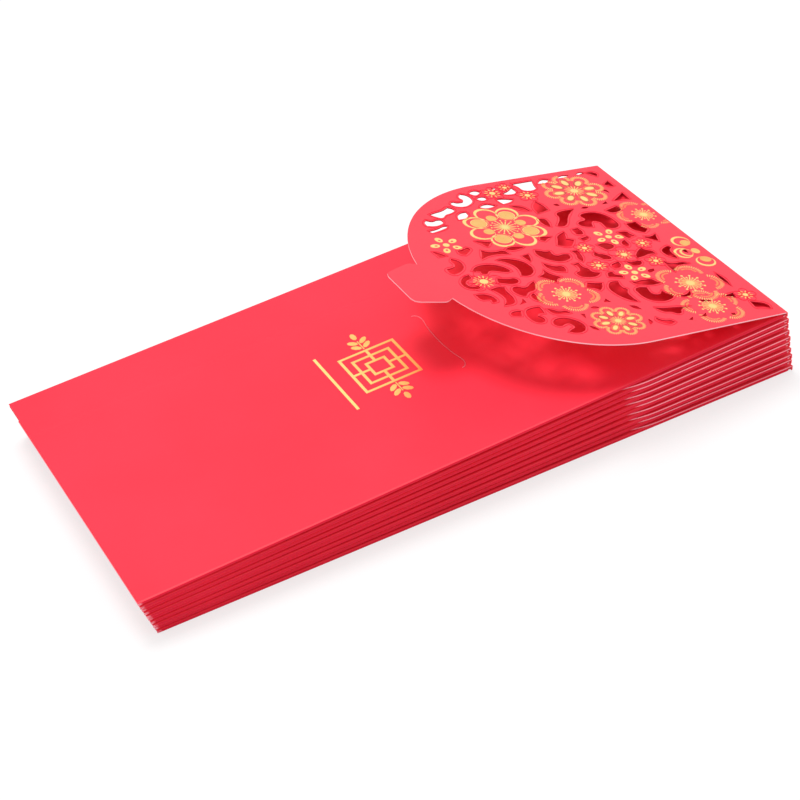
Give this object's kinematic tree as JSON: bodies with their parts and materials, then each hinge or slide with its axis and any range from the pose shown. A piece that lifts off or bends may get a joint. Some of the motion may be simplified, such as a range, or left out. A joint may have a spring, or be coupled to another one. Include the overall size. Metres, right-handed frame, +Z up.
{
  "type": "red envelope pack",
  "caption": "Fanned pack of red card gift envelopes with round flaps pierced as flower lace and stamped in gold foil; the top flap turns on its crease and each envelope lifts off.",
  "frame": {"origin": "middle of the lowest envelope's underside, where it rests on the table", "axes": "+X along the envelopes from the bottom end to the mouth with the flap's crease, +Y across to the far long edge with the side seam, +Z up through the pack"},
  "size_m": [0.1784, 0.0862, 0.0361],
  "materials": {
    "red_card": "matte",
    "gold_foil": "polished",
    "glue": "satin"
  },
  "bodies": {
    "envelope_01": {"envelope_01_back_panel": "red_card", "envelope_01_closure_flap": "red_card", "envelope_01_front_panel": "red_card", "envelope_01_glue_flaps": "red_card", "envelope_01_near_fold": "red_card"},
    "envelope_02": {"envelope_02_back_panel": "red_card", "envelope_02_closure_flap": "red_card", "envelope_02_front_panel": "red_card", "envelope_02_glue_flaps": "red_card", "envelope_02_near_fold": "red_card"},
    "envelope_03": {"envelope_03_back_panel": "red_card", "envelope_03_closure_flap": "red_card", "envelope_03_front_panel": "red_card", "envelope_03_glue_flaps": "red_card", "envelope_03_near_fold": "red_card"},
    "envelope_04": {"envelope_04_back_panel": "red_card", "envelope_04_closure_flap": "red_card", "envelope_04_front_panel": "red_card", "envelope_04_glue_flaps": "red_card", "envelope_04_near_fold": "red_card"},
    "envelope_05": {"envelope_05_back_panel": "red_card", "envelope_05_closure_flap": "red_card", "envelope_05_front_panel": "red_card", "envelope_05_glue_flaps": "red_card", "envelope_05_near_fold": "red_card"},
    "envelope_06": {"envelope_06_back_panel": "red_card", "envelope_06_closure_flap": "red_card", "envelope_06_front_panel": "red_card", "envelope_06_glue_flaps": "red_card", "envelope_06_near_fold": "red_card"},
    "envelope_07": {"envelope_07_back_panel": "red_card", "envelope_07_closure_flap": "red_card", "envelope_07_front_panel": "red_card", "envelope_07_glue_flaps": "red_card", "envelope_07_near_fold": "red_card"},
    "envelope_08": {"envelope_08_back_panel": "red_card", "envelope_08_closure_flap": "red_card", "envelope_08_front_panel": "red_card", "envelope_08_glue_flaps": "red_card", "envelope_08_near_fold": "red_card"},
    "envelope_09": {"envelope_09_back_panel": "red_card", "envelope_09_closure_flap": "red_card", "envelope_09_front_panel": "red_card", "envelope_09_glue_flaps": "red_card", "envelope_09_near_fold": "red_card"},
    "envelope_10": {"envelope_10_back_panel": "red_card", "envelope_10_bottom_glue_flap": "red_card", "envelope_10_bottom_glue_line": "glue", "envelope_10_emblem_foil": "gold_foil", "envelope_10_front_panel": "red_card", "envelope_10_mouth_crease": "red_card", "envelope_10_near_fold": "red_card", "envelope_10_side_glue_flap": "red_card", "envelope_10_side_glue_line": "glue"},
    "open_flap": {"envelope_10_closure_flap": "red_card", "envelope_10_flap_foil": "gold_foil"}
  },
  "joints": [
    {"name": "lift_02", "type": "slide", "parent": "envelope_01", "child": "envelope_02", "axis": [0, 0, 1], "range_m": [0, 0.03]},
    {"name": "lift_03", "type": "slide", "parent": "envelope_02", "child": "envelope_03", "axis": [0, 0, 1], "range_m": [0, 0.03]},
    {"name": "lift_04", "type": "slide", "parent": "envelope_03", "child": "envelope_04", "axis": [0, 0, 1], "range_m": [0, 0.03]},
    {"name": "lift_05", "type": "slide", "parent": "envelope_04", "child": "envelope_05", "axis": [0, 0, 1], "range_m": [0, 0.03]},
    {"name": "lift_06", "type": "slide", "parent": "envelope_05", "child": "envelope_06", "axis": [0, 0, 1], "range_m": [0, 0.03]},
    {"name": "lift_07", "type": "slide", "parent": "envelope_06", "child": "envelope_07", "axis": [0, 0, 1], "range_m": [0, 0.03]},
    {"name": "lift_08", "type": "slide", "parent": "envelope_07", "child": "envelope_08", "axis": [0, 0, 1], "range_m": [0, 0.03]},
    {"name": "lift_09", "type": "slide", "parent": "envelope_08", "child": "envelope_09", "axis": [0, 0, 1], "range_m": [0, 0.03]},
    {"name": "lift_10", "type": "slide", "parent": "envelope_09", "child": "envelope_10", "axis": [0, 0, 1], "range_m": [0, 0.03]},
    {"name": "flap_hinge", "type": "hinge", "parent": "envelope_10", "child": "open_flap", "pos_m": [0.08381, -0.00102, 0.01975], "axis": [0, 1, 0], "range_deg": [-13.3, 160], "stiffness_Nm_per_rad": 0.01, "springref_deg": 2.58}
  ]
}
